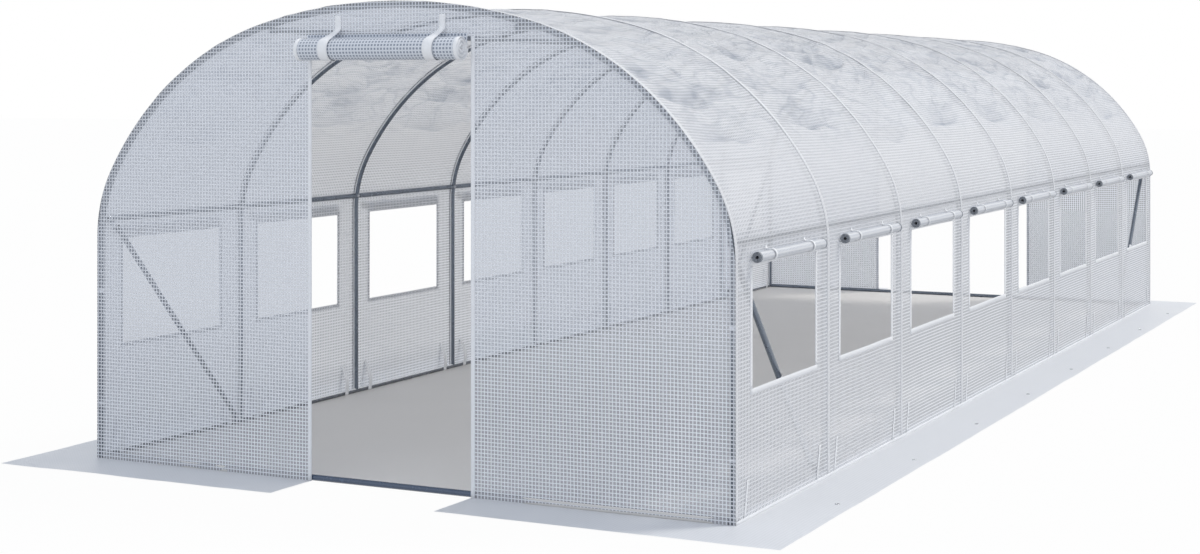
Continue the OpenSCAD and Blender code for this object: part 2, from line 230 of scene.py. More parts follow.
def mix_colour(nt, factor, a, b):
    node = add(nt, "ShaderNodeMix", data_type="RGBA")
    plug(nt, node.inputs["Factor"], factor)
    for name, v in (("A", a), ("B", b)):
        plug(nt, [s for s in node.inputs if s.name == name and s.type == "RGBA"][0], v)
    return [s for s in node.outputs if s.type == "RGBA"][0]


def scaled(colour, share):
    return tuple(c * share for c in colour)


def noise_node(nt, vector, scale, detail=3.0, rough=0.5):
    inputs = {"Vector": vector, "Scale": scale, "Detail": detail, "Roughness": rough}
    return node_with(nt, "ShaderNodeTexNoise", inputs).outputs["Fac"]


def bump(nt, height, strength, distance):
    inputs = {"Height": height, "Strength": strength, "Distance": distance}
    return node_with(nt, "ShaderNodeBump", inputs).outputs["Normal"]


def principled(nt, colour, rough, normal, others=()):
    """A Principled shader; others holds more of its inputs by name."""
    inputs = {"Base Color": colour, "Roughness": rough, "Normal": normal, **dict(others)}
    return node_with(nt, "ShaderNodeBsdfPrincipled", inputs)


def mix_shaders(nt, factor, a, b):
    node = add(nt, "ShaderNodeMixShader")
    for socket, value in zip(node.inputs, (factor, a.outputs[0], b.outputs[0])):
        plug(nt, socket, value)
    return node


def to_surface(nt, shader, kind="ShaderNodeOutputMaterial"):
    nt.links.new(shader.outputs[0], add(nt, kind).inputs["Surface"])


def flat_uv(nt):
    """The sheet's own coordinates, in metres."""
    uv = add(nt, "ShaderNodeUVMap", uv_map="flat").outputs["UV"]
    part = add(nt, "ShaderNodeSeparateXYZ")
    nt.links.new(uv, part.inputs[0])
    return uv, part.outputs["X"], part.outputs["Y"]


def strand(nt, coordinate, pitch, share):
    """1 on the strands of a grid and 0 between them, along one coordinate."""
    blur = 0.07
    turn = math_node(nt, "FRACT", times(nt, coordinate, 1 / pitch))
    edge = 0.5 - share / 2
    return ramp(nt, apart(nt, turn, 0.5), edge - blur, edge + blur)


def both_ways(nt, u, v, pitch, share):
    """Strands along both coordinates."""
    return math_node(nt, "MAXIMUM", strand(nt, u, pitch, share), strand(nt, v, pitch, share))


def crease_lines(nt, u, v, scale, sharp):
    """Thin winding lines that run mostly along u, 1 on the line."""
    stretch = 0.45
    place = add(nt, "ShaderNodeCombineXYZ")
    plug(nt, place.inputs[0], times(nt, u, stretch))
    plug(nt, place.inputs[1], v)
    away = apart(nt, noise_node(nt, place.outputs[0], scale, 2.0, 0.4), 0.5)
    return ramp(nt, times(nt, away, sharp), 0.0, 1.0, 1.0, 0.0)


def film_material(name, cell, thread, colour, strands, clear=0.80, share=0.40, glow=0.25,
                  crumple=False, dust=False):
    """Reinforced film: white strands over clearer cells, so that it shows what stands behind it.

    cell and thread are opacities, colour and strands their colours, clear the brightness of what
    shows through, share the strands' part of the grid and glow how much light passes diffused.
    crumple makes the roof milkier and creased, and paints shade into its colour: a blue-grey darkening from the
    mesh's "pucker" values and along the crease lines.
    dust dims what shows through towards the bottom of the sheet and makes the cells milkier higher up."""
    roof_cell, high_milkiness = 0.74, 0.16
    pane, low_dim_pane, painted_fold_shade = (0.985, 1.0, 1.02), (0.76, 0.77, 0.80), (0.39, 0.425, 0.49)
    grid_h, soft_h, crease_h = 0.0004, 0.0008, 0.0045
    mat, nt = new_material(name)
    uv, u, v = flat_uv(nt)
    grid = both_ways(nt, u, v, GRID, share)
    cloud = noise_node(nt, uv, 2.3, 4.0)
    soft = noise_node(nt, uv, 28.0, 4.0, 0.6)
    height = math_node(nt, "ADD", times(nt, grid, grid_h), times(nt, soft, soft_h))
    body = mix_colour(nt, grid, mix_colour(nt, cloud, scaled(colour, 0.95), colour), strands)
    milky, seen = cell, scaled(pane, clear)
    if crumple:
        low = math_node(nt, "MINIMUM", v, math_node(nt, "SUBTRACT", S_ALL, v))
        milky = ramp(nt, low, 0.95, 1.35, cell, roof_cell)
        where = ramp(nt, low, 1.25, 1.75, 0.12, 1.0)
        fine = times(nt, crease_lines(nt, u, v, 17.0, 12.0), 0.6)
        lines = math_node(nt, "ADD", crease_lines(nt, u, v, 7.0, 18.0), fine)
        height = math_node(nt, "ADD", height, times(nt, times(nt, lines, where), crease_h))
        # Painted shade: the film's colour darkens towards painted_fold_shade in the pockets, on down-facing slopes,
        # along the crease lines and a little over the whole upper roof.
        pucker = add(nt, "ShaderNodeAttribute", attribute_name="pucker").outputs["Fac"]
        painted_crease_shade = times(nt, where, math_node(nt, "MULTIPLY_ADD", lines, 0.22, 0.06))
        body = mix_colour(nt, math_node(nt, "ADD", pucker, painted_crease_shade), body, painted_fold_shade)
    # Darker towards the bottom: what shows through the lower film is dimmed, and the cells grow milkier higher up.
    if dust:
        milky = ramp(nt, v, 0.30, 0.95, cell, cell + high_milkiness)
        seen = mix_colour(nt, ramp(nt, v, 0.25, 0.80, 1.0, 0.0), seen, scaled(low_dim_pane, clear))
    normal = bump(nt, height, 0.6, 1.0)
    shine = principled(nt, body, uneven(nt, cloud, 0.38, 0.52), normal, {"Specular IOR Level": 0.35})
    through = node_with(nt, "ShaderNodeBsdfTranslucent", {"Color": body, "Normal": normal})
    open_cell = node_with(nt, "ShaderNodeBsdfTransparent", {"Color": seen})
    opacity = ramp(nt, grid, 0.0, 1.0, milky, thread)
    to_surface(nt, mix_shaders(nt, opacity, open_cell, mix_shaders(nt, glow, shine, through)))
    return mat


def webbing_material(name, colour, stitched=False):
    """Woven tape with fine ribs both ways and, on hems, two rows of stitches."""
    rib, row_from_middle, stitch_pitch = 0.0016, 0.006, 0.006
    mat, nt = new_material(name)
    uv, u, v = flat_uv(nt)
    height = both_ways(nt, u, v, rib, 0.5)
    dirt = noise_node(nt, uv, 9.0, 4.0)
    shade = mix_colour(nt, dirt, scaled(colour, 0.94), colour)
    if stitched:
        from_row = apart(nt, apart(nt, v, DOOR_HEM / 2), row_from_middle)
        near = ramp(nt, from_row, 0.0006, 0.0012, 1.0, 0.0)
        stitch = times(nt, near, strand(nt, u, stitch_pitch, 0.6))
        shade = mix_colour(nt, times(nt, stitch, 0.45), shade, (0.66, 0.69, 0.74))
        height = math_node(nt, "SUBTRACT", height, times(nt, near, 1.5))
    to_surface(nt, principled(nt, shade, uneven(nt, dirt, 0.55, 0.75), bump(nt, height, 0.35, 0.0006)))
    return mat


def tube_material(name, dark, light, metallic, coat=0.35):
    """Slate grey galvanised tube with faint drawing marks and scuffs."""
    mat, nt = new_material(name)
    place = add(nt, "ShaderNodeTexCoord").outputs["Object"]
    cloud = noise_node(nt, place, 7.0, 5.0, 0.6)
    speck = noise_node(nt, place, 190.0, 3.0)
    scuff = ramp(nt, noise_node(nt, place, 36.0, 6.0, 0.7), 0.60, 0.72)
    bright = tuple(min(1, c * 1.9) for c in light)
    worn = mix_colour(nt, times(nt, scuff, 0.3), mix_colour(nt, cloud, dark, light), bright)
    others = {"Metallic": metallic, "Coat Weight": coat, "Coat Roughness": 0.12}
    normal = bump(nt, speck, 0.2, 0.0003)
    to_surface(nt, principled(nt, worn, uneven(nt, cloud, 0.20, 0.32), normal, others))
    return mat


def moulded_material(name, colour, rough):
    """Moulded plastic with a faint grain and slightly uneven colour."""
    mat, nt = new_material(name)
    place = add(nt, "ShaderNodeTexCoord").outputs["Object"]
    cloud = noise_node(nt, place, 40.0, 4.0)
    shade = mix_colour(nt, cloud, scaled(colour, 0.93), colour)
    grain = bump(nt, noise_node(nt, place, 900.0, 2.0), 0.2, 0.0002)
    to_surface(nt, principled(nt, shade, uneven(nt, cloud, rough, rough + 0.12), grain))
    return mat


def ground_material():
    """Grey woven ground sheet: a fine tape weave, clouded and a little dusty."""
    mat, nt = new_material("ground_weave")
    uv, u, v = flat_uv(nt)
    weave = both_ways(nt, u, v, 0.005, 0.45)
    cloud = noise_node(nt, uv, 1.7, 5.0)
    dust = noise_node(nt, uv, 60.0, 4.0, 0.65)
    base = mix_colour(nt, cloud, (0.66, 0.645, 0.625), (0.71, 0.695, 0.675))
    base = mix_colour(nt, times(nt, weave, 0.18), base, (0.73, 0.71, 0.70))
    base = mix_colour(nt, times(nt, dust, 0.2), base, (0.72, 0.70, 0.685))
    to_surface(nt, principled(nt, base, uneven(nt, dust, 0.7, 0.9), bump(nt, weave, 0.4, 0.0006)))
    return mat


COVER = film_material("cover_film", 0.44, 0.95, (0.77, 0.775, 0.79), (0.925, 0.928, 0.938),
                      clear=0.94, share=0.38, glow=0.33, crumple=True)
END = film_material("end_film", 0.16, 0.95, (0.84, 0.86, 0.90), (0.89, 0.91, 0.95),
                    clear=0.92, share=0.31, dust=True)
# Painted shade: the door roll's cells are dark, for the shaded deeper turns seen through them.
DOOR = film_material("door_roll_painted_shade_film", 0.97, 0.99, (0.27, 0.31, 0.38), (0.76, 0.79, 0.84), share=0.44, glow=0.05)
WINDOW = film_material("window_film", 0.97, 0.99, (0.68, 0.71, 0.76), (0.90, 0.91, 0.93),
                       share=0.44, glow=0.22)
# Painted shade: darker film for the inner turns of the window rolls, for the shade within a roll.
ROLL_INNER_SHADE = film_material("rolled_inside_painted_shade", 0.97, 0.99, (0.50, 0.52, 0.56), (0.60, 0.62, 0.66), glow=0.40)
SEAM = film_material("seam_film", 0.90, 0.96, (0.88, 0.885, 0.90), (0.90, 0.905, 0.92), glow=0.15)
SKIRT = film_material("skirt_film", 0.97, 0.99, (0.73, 0.745, 0.77), (0.75, 0.765, 0.79), glow=0.05)
# Painted shade: dark spirals on the ends of the window rolls, for the shaded hollow of a roll.
ROLL_END_SHADE = webbing_material("rolled_end_painted_shade", (0.30, 0.32, 0.35))
TAPE = webbing_material("white_tape", (0.95, 0.955, 0.965))
TRIM = film_material("hem_film", 0.95, 0.98, (0.93, 0.935, 0.945), (0.95, 0.955, 0.965), glow=0.05)
HEM = webbing_material("white_hem", (0.92, 0.93, 0.95), stitched=True)
TUBE = tube_material("tube_metal", (0.14, 0.165, 0.205), (0.19, 0.22, 0.265), 0.75)
# Painted shade: the rails and the front sill bar take darker copies of the tube metal, the sill bar also bluer, so
# that their faces read dark; the rails' strong coat is real gloss.
SHADED_RAIL_METAL = tube_material("rail_metal_painted_shade", (0.07, 0.082, 0.105), (0.10, 0.115, 0.14), 0.35, coat=1.0)
SHADED_SILL_METAL = tube_material("sill_metal_painted_shade", (0.020, 0.045, 0.095), (0.032, 0.065, 0.130), 0.35, coat=0.8)
BOLT = tube_material("bolt_metal", (0.42, 0.44, 0.47), (0.52, 0.54, 0.57), 0.9)
CLIP = moulded_material("white_clip", (0.90, 0.91, 0.93), 0.35)
GROUND = ground_material()


# Mesh helpers
def mesh_piece(name, verts, faces, uvs, material, nodes=(), second=None):
    """A riding piece from vertices, faces and one flat coordinate per vertex, without unused vertices.

    second is another material and, for each face, 1 where the face takes it."""
    verts, uvs = np.asarray(verts, float), np.asarray(uvs, float)
    used = np.unique(np.concatenate([np.asarray(f) for f in faces]))
    new = np.full(len(verts), -1)
    new[used] = np.arange(len(used))
    data = bpy.data.meshes.new(name)
    data.from_pydata(verts[used].tolist(), [], [[int(new[i]) for i in f] for f in faces])
    layer = data.uv_layers.new(name="flat")
    corner = np.empty(len(data.loops), int)
    data.loops.foreach_get("vertex_index", corner)
    layer.data.foreach_set("uv", uvs[used][corner].ravel())
    data.polygons.foreach_set("use_smooth", np.ones(len(data.polygons), bool))
    data.materials.append(material)
    if second is not None:
        data.materials.append(second[0])
        data.polygons.foreach_set("material_index", np.asarray(second[1], int))
    data.update()
    piece = bpy.data.objects.new(name, data)
    bpy.context.collection.objects.link(piece)
    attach(piece, "root")
    if nodes:
        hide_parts(*nodes)
    return piece


class Parts:
    """Collects shapes that become one piece."""

    def __init__(self):
        self.verts, self.faces, self.uvs, self.marks, self.count = [], [], [], [], 0

    def add(self, verts, faces, uvs, marks=None):
        self.verts.append(np.asarray(verts, float))
        self.uvs.append(np.asarray(uvs, float))
        self.faces += [[i + self.count for i in f] for f in faces]
        self.marks += list(marks) if marks is not None else [0] * len(faces)
        self.count += len(verts)

    def piece(self, name, material, slot, nodes=(), second=None):
        verts, uvs = np.concatenate(self.verts), np.concatenate(self.uvs)
        pair = (second, self.marks) if second is not None else None
        return mesh_piece(name, verts, self.faces, uvs, material, nodes, pair)


def points(*coordinates):
    """Rows of points from coordinates that are numbers or arrays of one shape."""
    return np.stack(np.broadcast_arrays(*coordinates), -1).reshape(-1, len(coordinates))


def arc_length(path):
    """Distance of each point of a path from its start, along it."""
    return np.concatenate([[0], np.cumsum(np.linalg.norm(np.diff(path, axis=0), axis=1))])


def middles(lines):
    return (lines[1:] + lines[:-1]) / 2


def grid_faces(rows, columns, keep=None):
    """Quads of a grid of vertices, all or only those to keep."""
    faces = []
    for i in range(rows - 1):
        for j in range(columns - 1):
            if keep is None or keep[i, j]:
                a = i * columns + j
                faces.append([a, a + 1, a + columns + 1, a + columns])
    return faces


def cut_lines(marks, step):
    """Sorted positions that include every mark, at most a step apart."""
    marks = np.unique(np.round(marks, 6))
    out = [marks[:1]]
    for a, b in zip(marks[:-1], marks[1:]):
        out.append(np.linspace(a, b, max(1, math.ceil((b - a) / step - 1e-6)) + 1)[1:])
    return np.concatenate(out)


def sweep(path, side, width, thick):
    """A tape along a path, with its width along side and softened edges: vertices, faces, flat coordinates."""
    path = np.asarray(path, float)
    side = np.asarray(side, float) / np.linalg.norm(side)
    along = np.gradient(path, axis=0)
    along /= np.linalg.norm(along, axis=1)[:, None]
    up = np.cross(along, side)
    up /= np.linalg.norm(up, axis=1)[:, None]
    half = np.broadcast_to(np.asarray(width, float) / 2, (len(path),))
    t, c = thick / 2, thick / 4
    verts, uvs, faces, k = [], [], [], 8
    for p, n, s, w in zip(path, up, arc_length(path), half):
        for a, b in ((-w, -t + c), (-w + c, -t), (w - c, -t), (w, -t + c),
                     (w, t - c), (w - c, t), (-w + c, t), (-w, t - c)):
            verts.append(p + side * a + n * b)
            uvs.append((s, a + w))
    for i in range(len(path) - 1):
        for j in range(k):
            a, b = i * k + j, i * k + (j + 1) % k
            faces.append([a, b, b + k, a + k])
    faces.append(list(range(k))[::-1])
    faces.append([(len(path) - 1) * k + j for j in range(k)])
    return verts, faces, uvs


def lathe(profile, centre, axis, steps=20):
    """A turned shape from (radius, height) points, from the middle of its top to its foot."""
    axis = Vector(axis).normalized()
    side = axis.orthogonal().normalized()
    axis, side, other = np.array(axis), np.array(side), np.array(axis.cross(side))
    verts, uvs, faces = [], [], []
    for r, h in profile:
        for j in range(steps):
            a = 2 * math.pi * j / steps
            verts.append(np.array(centre) + axis * h + r * (math.cos(a) * side + math.sin(a) * other))
            uvs.append((a * r, h))
    for i in range(len(profile) - 1):
        for j in range(steps):
            a, b = i * steps + j, i * steps + (j + 1) % steps
            faces.append([a, a + steps, b + steps, b])
    return verts, faces, uvs


def sleeve(axis, out, side, low, high):
    """An open sleeve round a tube from angle low to high, where out is 0: vertices, faces, flat coordinates."""
    r, steps = TUBE_R + 0.0005, 14
    out, side = np.atleast_2d(out), np.atleast_2d(side)
    turn = np.linspace(low, high, steps)
    round_it = np.cos(turn)[None, :, None] * out[:, None, :] + np.sin(turn)[None, :, None] * side[:, None, :]
    uvs = points(*np.meshgrid(arc_length(axis), turn * r, indexing="ij"))
    return (axis[:, None, :] + r * round_it).reshape(-1, 3), grid_faces(len(axis), steps), uvs


# The cover
def pockets(s, y):
    """Rows of slack pockets in the roof film: how deep each place lies in one, and how much shade is painted on it.

    A pocket is deepest just above its lower crease and runs out upward. The first row has one large
    pocket in each bay, and the rows above it have smaller ones."""
    foot, first_h, later_h = 1.435, 0.215, 0.150
    middle, reach = 0.42, 0.27
    crease_up, crease_w = 0.09, 0.055
    n, t = bay_place(y)
    d, side = from_foot(s), noise_side(s)
    span = np.sqrt(np.sin(np.pi * t))
    bow = 0.35 * (t - middle - 0.06 * noise(n * 1.7 + 0.3, side)) ** 2
    above = d - foot - bow - 0.05 * noise(n * 2.3 + 0.6, side + 4)
    above = above - 0.035 * noise(y * 2.3 + side, d * 1.5) - 0.018 * noise(y * 7.0 + side, d * 6.0)
    rise = np.where(above < first_h, above / first_h, 1 + (above - first_h) / later_h)
    row = np.floor(rise)
    up = rise - row
    first = np.exp(-((t - middle) / reach) ** 2) * (0.72 + 0.45 * noise(n * 3.1 + 0.5, side + 9))
    later = np.clip(0.42 + 0.85 * noise(y * 2.7 + row * 5.3 + side, row * 3.7 + 1.5), 0.05, 0.95)
    later = later * (0.85 + 0.3 * noise(y * 6 + row, row + side))
    strength = np.where(row < 0, 0, np.where(row < 1, first, later)) * span * (1 - smooth(2.70, 2.86, d))
    crease = np.exp(-((up - crease_up) / crease_w) ** 2)
    depth = strength * smooth(0.0, 0.13, up) * (1 - up) ** 1.3
    shade = strength * smooth(0.0, 0.07, up) * (0.55 * (1 - up) ** 2.0 + 0.75 * crease)
    return depth, shade


def cover_offset(s, y):
    """How far the film lies outside its plain shape: slack between the hoops, puckered near the crown."""
    wall_sag, roof_sag, hoop_dip, pocket_depth = 0.003, 0.009, 0.003, 0.030
    pillow_h, fold_h, small_h, drape_h = 0.009, 0.009, 0.0022, 0.0030
    highest, lowest, lowest_crown, crown_from = 0.004, -0.045, -0.0255, 2.2
    t = bay_place(y)[1]
    near = np.minimum(t, 1 - t) * PITCH
    span = np.sin(np.pi * t)
    loose = 0.2 + 0.8 * span
    d, side = from_foot(s), noise_side(s)
    roof = smooth(WALL_H + 0.10, 1.55, d)
    puckered = smooth(1.33, 1.72, d)
    wall = 1 - smooth(WALL_H - 0.05, S_HAUNCH, d)
    sag = -(wall_sag + roof_sag * roof) * span - hoop_dip * roof * (1 - np.exp(-near / 0.05))
    bend = 0.5 * noise(s * 2.1 + 3, y * 1.7)
    pillow = pillow_h * puckered * loose * noise(s * 4.6 + 5 + bend, y * 3.4 + 2 - bend)
    fold = ridges(s * 4.0 + 1.2 * y + bend, y * 3.0 - 1.5 * s + 11) ** 7
    pucker = -fold_h * puckered * loose * fold
    small = small_h * puckered * noise(s * 19 + 3 * y, y * 11 + 7)
    drape = drape_h * wall * noise(s * 2.2 + side, y * 2.8 + 3) * smooth(0.02, 0.25, d) * span
    off = sag + pillow + pucker + small + drape - pocket_depth * pockets(s, y)[0]
    rest = np.maximum(over_tube(near), over_tube(np.abs(d - S_PURLIN)))
    rest = np.maximum(rest, over_tube(np.abs(d - TUBE_R)))
    limit = np.where(d > crown_from, lowest_crown, lowest)
    return np.minimum(np.maximum(np.maximum(off, rest), limit), highest)


def wall_offset(k, z, y):
    """How far the film of one wall lies outside its plain shape, at height z."""
    return cover_offset(S_ALL - z if k > 0 else z, y)


def build_cover():
    """One film sheet over both walls and the roof, with the windows cut through it."""
    wall_step, roof_step, along_step, roof_from, gap = 0.030, 0.0165, 0.029, 1.30, 0.01
    pocket_shade, steep_shade, most_shade = 0.68, 0.5, 0.85
    top = WIN_SILL + WIN_H
    half = [0, TUBE_R, 2 * TUBE_R, WIN_SILL, top, WALL_H, S_PURLIN - TUBE_R, S_PURLIN,
            S_PURLIN + TUBE_R, S_HAUNCH, S_SHOULDER, S_TOP]
    s_lines = cut_lines(half + [S_ALL - h for h in half], wall_step)
    left, right = s_lines[s_lines < roof_from - gap], s_lines[s_lines > S_ALL - (roof_from - gap)]
    s_lines = np.concatenate([left, cut_lines([roof_from, S_TOP, S_ALL - roof_from], roof_step), right])
    edges = [y + e * WIN_W / 2 for y in BAY_Y for e in (-1, 1)]
    beside = [y + e * TUBE_R for y in HOOP_Y for e in (-1, 1)]
    y_lines = cut_lines([-HALF_L, HALF_L] + HOOP_Y + edges + beside, along_step)
    s, y = np.meshgrid(s_lines, y_lines, indexing="ij")
    x, z, nx, nz = outline(s)
    out = cover_offset(s, y)
    low = from_foot(middles(s_lines))
    in_wall = (low > WIN_SILL) & (low < top)
    in_bay = np.any([np.abs(middles(y_lines) - b) < WIN_W / 2 for b in BAY_Y], axis=0)
    faces = grid_faces(*s.shape, ~(in_wall[:, None] & in_bay[None, :]))
    verts = points(x + nx * (out - MID_FILM), y, np.maximum(z + nz * (out - MID_FILM), 0.0))
    piece = mesh_piece("cover", verts, faces, points(y, s), COVER,
                       ("left_wall_cover", "right_wall_cover", "left_roof_cover", "right_roof_cover", "crown_cover"))
    # Painted shade for the film's colour, carried by the "pucker" values: darker in the pockets and on slopes that
    # face down.
    slope = np.gradient(out, s_lines, axis=0) * np.where(s > S_TOP, -1, 1)
    down_facing_shade = steep_shade * smooth(0.05, 0.30, slope) * smooth(1.4, 1.8, from_foot(s))
    shade = np.clip(pocket_shade * pockets(s, y)[1] + down_facing_shade, 0, most_shade)
    pucker = piece.data.attributes.new("pucker", "FLOAT", "POINT")
    pucker.data.foreach_set("value", shade.ravel()[np.unique(np.concatenate(faces))])


def build_ends():
    """One film sheet across each end, with the doorway cut out of it."""
    rows, door_row, step, spread, far, loose_from = 74, 66, 0.028, 0.35, 9, 0.22
    arch_x, arch_z = outline(np.linspace(WALL_H, S_TOP, 4000))[:2]
    for name, sign, door_w in ENDS:
        jamb = door_w / 2
        x_lines = cut_lines([-HALF_W, -jamb, jamb, HALF_W], step)
        top = np.interp(-np.abs(x_lines), arch_x, arch_z) - MID_FILM
        z = np.empty((rows, len(x_lines)))
        for j, (x, h) in enumerate(zip(x_lines, top)):
            t = smooth(jamb, jamb + spread, abs(x))
            lintel = (1 - t) * DOOR_H + t * h * door_row / (rows - 1)
            low = np.concatenate([[0.0, TUBE_R], np.linspace(2 * TUBE_R, lintel, door_row - 1)])
            z[:, j] = np.concatenate([low, np.linspace(lintel, h, rows - door_row)[1:]])
        x = np.broadcast_to(x_lines, z.shape)
        rim = np.minimum(top[None, :] - z, HALF_W - np.abs(x))
        beside = np.where(np.abs(x) < jamb, far, np.abs(x) - jamb)
        free = smooth(0.0, loose_from, np.minimum(rim, beside))
        billow = 0.004 * noise(x * 1.9 + 4, z * 1.5 + 8) + 0.0018 * noise(x * 6 + 1, z * 3.1)
        creases = -0.003 * ridges(x * 3.0 + 1.3 * z, z * 1.7 - x) ** 8
        rest = np.maximum(over_tube(np.abs(rim - TUBE_DEPTH)), over_tube(np.abs(z - TUBE_R)))
        off = np.maximum(free * (billow + creases), rest)
        verts = points(x, sign * (HALF_L - MID_FILM + off), z)
        keep = np.ones((rows - 1, len(x_lines) - 1), bool)
        keep[:door_row, np.abs(middles(x_lines)) < jamb] = False
        piece = mesh_piece(f"{name}_end", verts, grid_faces(rows, len(x_lines), keep), points(x, z), END,
                           (f"{name}_left_panel", f"{name}_right_panel", f"{name}_header_panel"))


# The skirt
def ripple(x, y):
    """Height of the skirt over the ground, away from the tunnel."""
    return 0.0022 + 0.0016 * noise(x * 3 + 2, y * 3) + 0.0008 * noise(x * 9, y * 9 + 4)


def skirt_sheet(corners):
    """A strip of four corners laid on the ground: vertices, faces, flat coordinates."""
    step, lift, flat_from = 0.04, 0.0008, 0.12
    a, b, c, d = [np.array(p) for p in corners]
    n = max(2, math.ceil(max(np.linalg.norm(b - c), np.linalg.norm(a - d)) / step) + 1)
    m = max(2, math.ceil(SKIRT_W / step) + 1)
    u, v = np.meshgrid(np.linspace(0, 1, n), np.linspace(0, 1, m), indexing="ij")
    shares = ((1 - u) * (1 - v), (1 - u) * v, u * v, u * (1 - v))
    p = sum(share[..., None] * corner for share, corner in zip(shares, (a, b, c, d)))
    z = ripple(p[..., 0], p[..., 1]) * smooth(0.0, flat_from, v) + lift
    return points(p[..., 0], p[..., 1], z), grid_faces(n, m), p.reshape(-1, 2)


def build_skirts():
    """Film strips on the ground round the tunnel, with an eyelet beside each bay of the walls."""
    eyelet_x, eyelet_lift = 1.705, 0.0006
    ring = [(0.0048, 0.0016), (0.0060, 0.0030), (0.0080, 0.0032), (0.0096, 0.0020), (0.0100, 0.0)]
    ox, oy = HALF_W + SKIRT_W, HALF_L + SKIRT_W
    for name, k in SIDES:
        parts, eyelets = Parts(), Parts()
        parts.add(*skirt_sheet([(k * HALF_W, -HALF_L), (k * ox, -oy), (k * ox, oy), (k * HALF_W, HALF_L)]))
        piece = parts.piece(f"{name}_skirt_sheet", SKIRT, "skirt", (f"{name}_skirt",))
        for y in BAY_Y:
            height = float(ripple(k * eyelet_x, y)) + eyelet_lift
            eyelets.add(*lathe(ring, (k * eyelet_x, y, height), (0, 0, 1)))
        rings = eyelets.piece(f"{name}_skirt_eyelets", BOLT, "tube")
    for name, k, door_w in ENDS:
        dx = door_w / 2
        parts = Parts()
        for e in (-1, 1):
            parts.add(*skirt_sheet([(e * dx, k * HALF_L), (e * dx, k * oy), (e * ox, k * oy),
                                    (e * HALF_W, k * HALF_L)]))
        piece = parts.piece(f"{name}_skirt_sheet", SKIRT, "skirt", (f"{name}_skirt",))


# Rolls, straps and hems
def spiral(r, core, turns, tail, steps=28):
    """Section of a rolled sheet as (out, up) points about its axis, from the core to the end of its tail."""
    n = int(turns * steps)
    i = np.arange(n + 1)
    angle = math.pi + (n - i) * turns * 2 * math.pi / n
    radius = core + (r - core) * i / n
    return np.concatenate([points(radius * np.cos(angle), radius * np.sin(angle)), [[-r, tail * 0.5], [-r, tail]]])


def pinched(w, at, depth, width):
    """Thickness of a roll along it: 1, and less by depth where straps hold it on both sides of its middle."""
    return 1 - depth * sum(np.exp(-((w - e * at) / width) ** 2) for e in (-1, 1))


def roll_surface(section, w, squeeze, wobble):
    """A rolled sheet at places w along it: along, out and up grids, flat coordinates, unrolled length."""
    far = arc_length(section)
    out = section[None, :, 0] * squeeze[:, None] + wobble[:, None]
    rolled = np.arange(len(section)) < len(section) - TAIL_POINTS
    up = section[None, :, 1] * np.where(rolled, squeeze[:, None], 1.0)
    along = np.broadcast_to(w[:, None], out.shape)
    return along, out, up, points(along, np.broadcast_to(far, out.shape)), far[-1]


def build_door_rolls():
    """A rolled-up door above each doorway, with ridged hems on its ends."""
    sheet_t, core, turns, tail, stations = 0.001, 0.008, 10, 0.060, 82
    hem_in, hem_w, hem_t, ridge_h, ridge_pitch = 0.006, 0.016, 0.0034, 0.0035, 0.0155
    section = spiral(ROLL_R - sheet_t, core, turns, tail)
    inner = section[:-TAIL_POINTS]
    ridge = ridge_h * np.cos(2 * math.pi * np.linalg.norm(inner, axis=1) / ridge_pitch)
    axis_y = HALF_L + (SEAT + ROLL_R)
    for name, k, door_w in ENDS:
        length = door_w + 2 * ROLL_OVER
        w = np.linspace(-length / 2, length / 2, stations)
        squeeze = pinched(w + ROLL_SHIFT + STRAP_DRIFT, door_w / 2 - STRAP_INSET, 0.07, 0.03)
        squeeze = squeeze + 0.012 * noise(w * 9, 3.0)
        along, out, up, uv, long = roll_surface(section, w, squeeze, 0.0015 * noise(w * 5, 9.0))
        verts = points(along + ROLL_SHIFT, k * (axis_y + out), ROLL_Z + up)
        piece = mesh_piece(f"{name}_rolled_door", verts, grid_faces(*out.shape), uv, DOOR,
                           (f"{name}_door_roll",))
        ends = Parts()
        for e in (-1, 1):
            across = ROLL_SHIFT + e * (length / 2 - hem_in + ridge)
            path = points(across, k * (axis_y + inner[:, 0]), ROLL_Z + inner[:, 1])
            ends.add(*sweep(path, (1, 0, 0), hem_w, hem_t))
        hems = ends.piece(f"{name}_rolled_door_hems", TAPE, "strap")


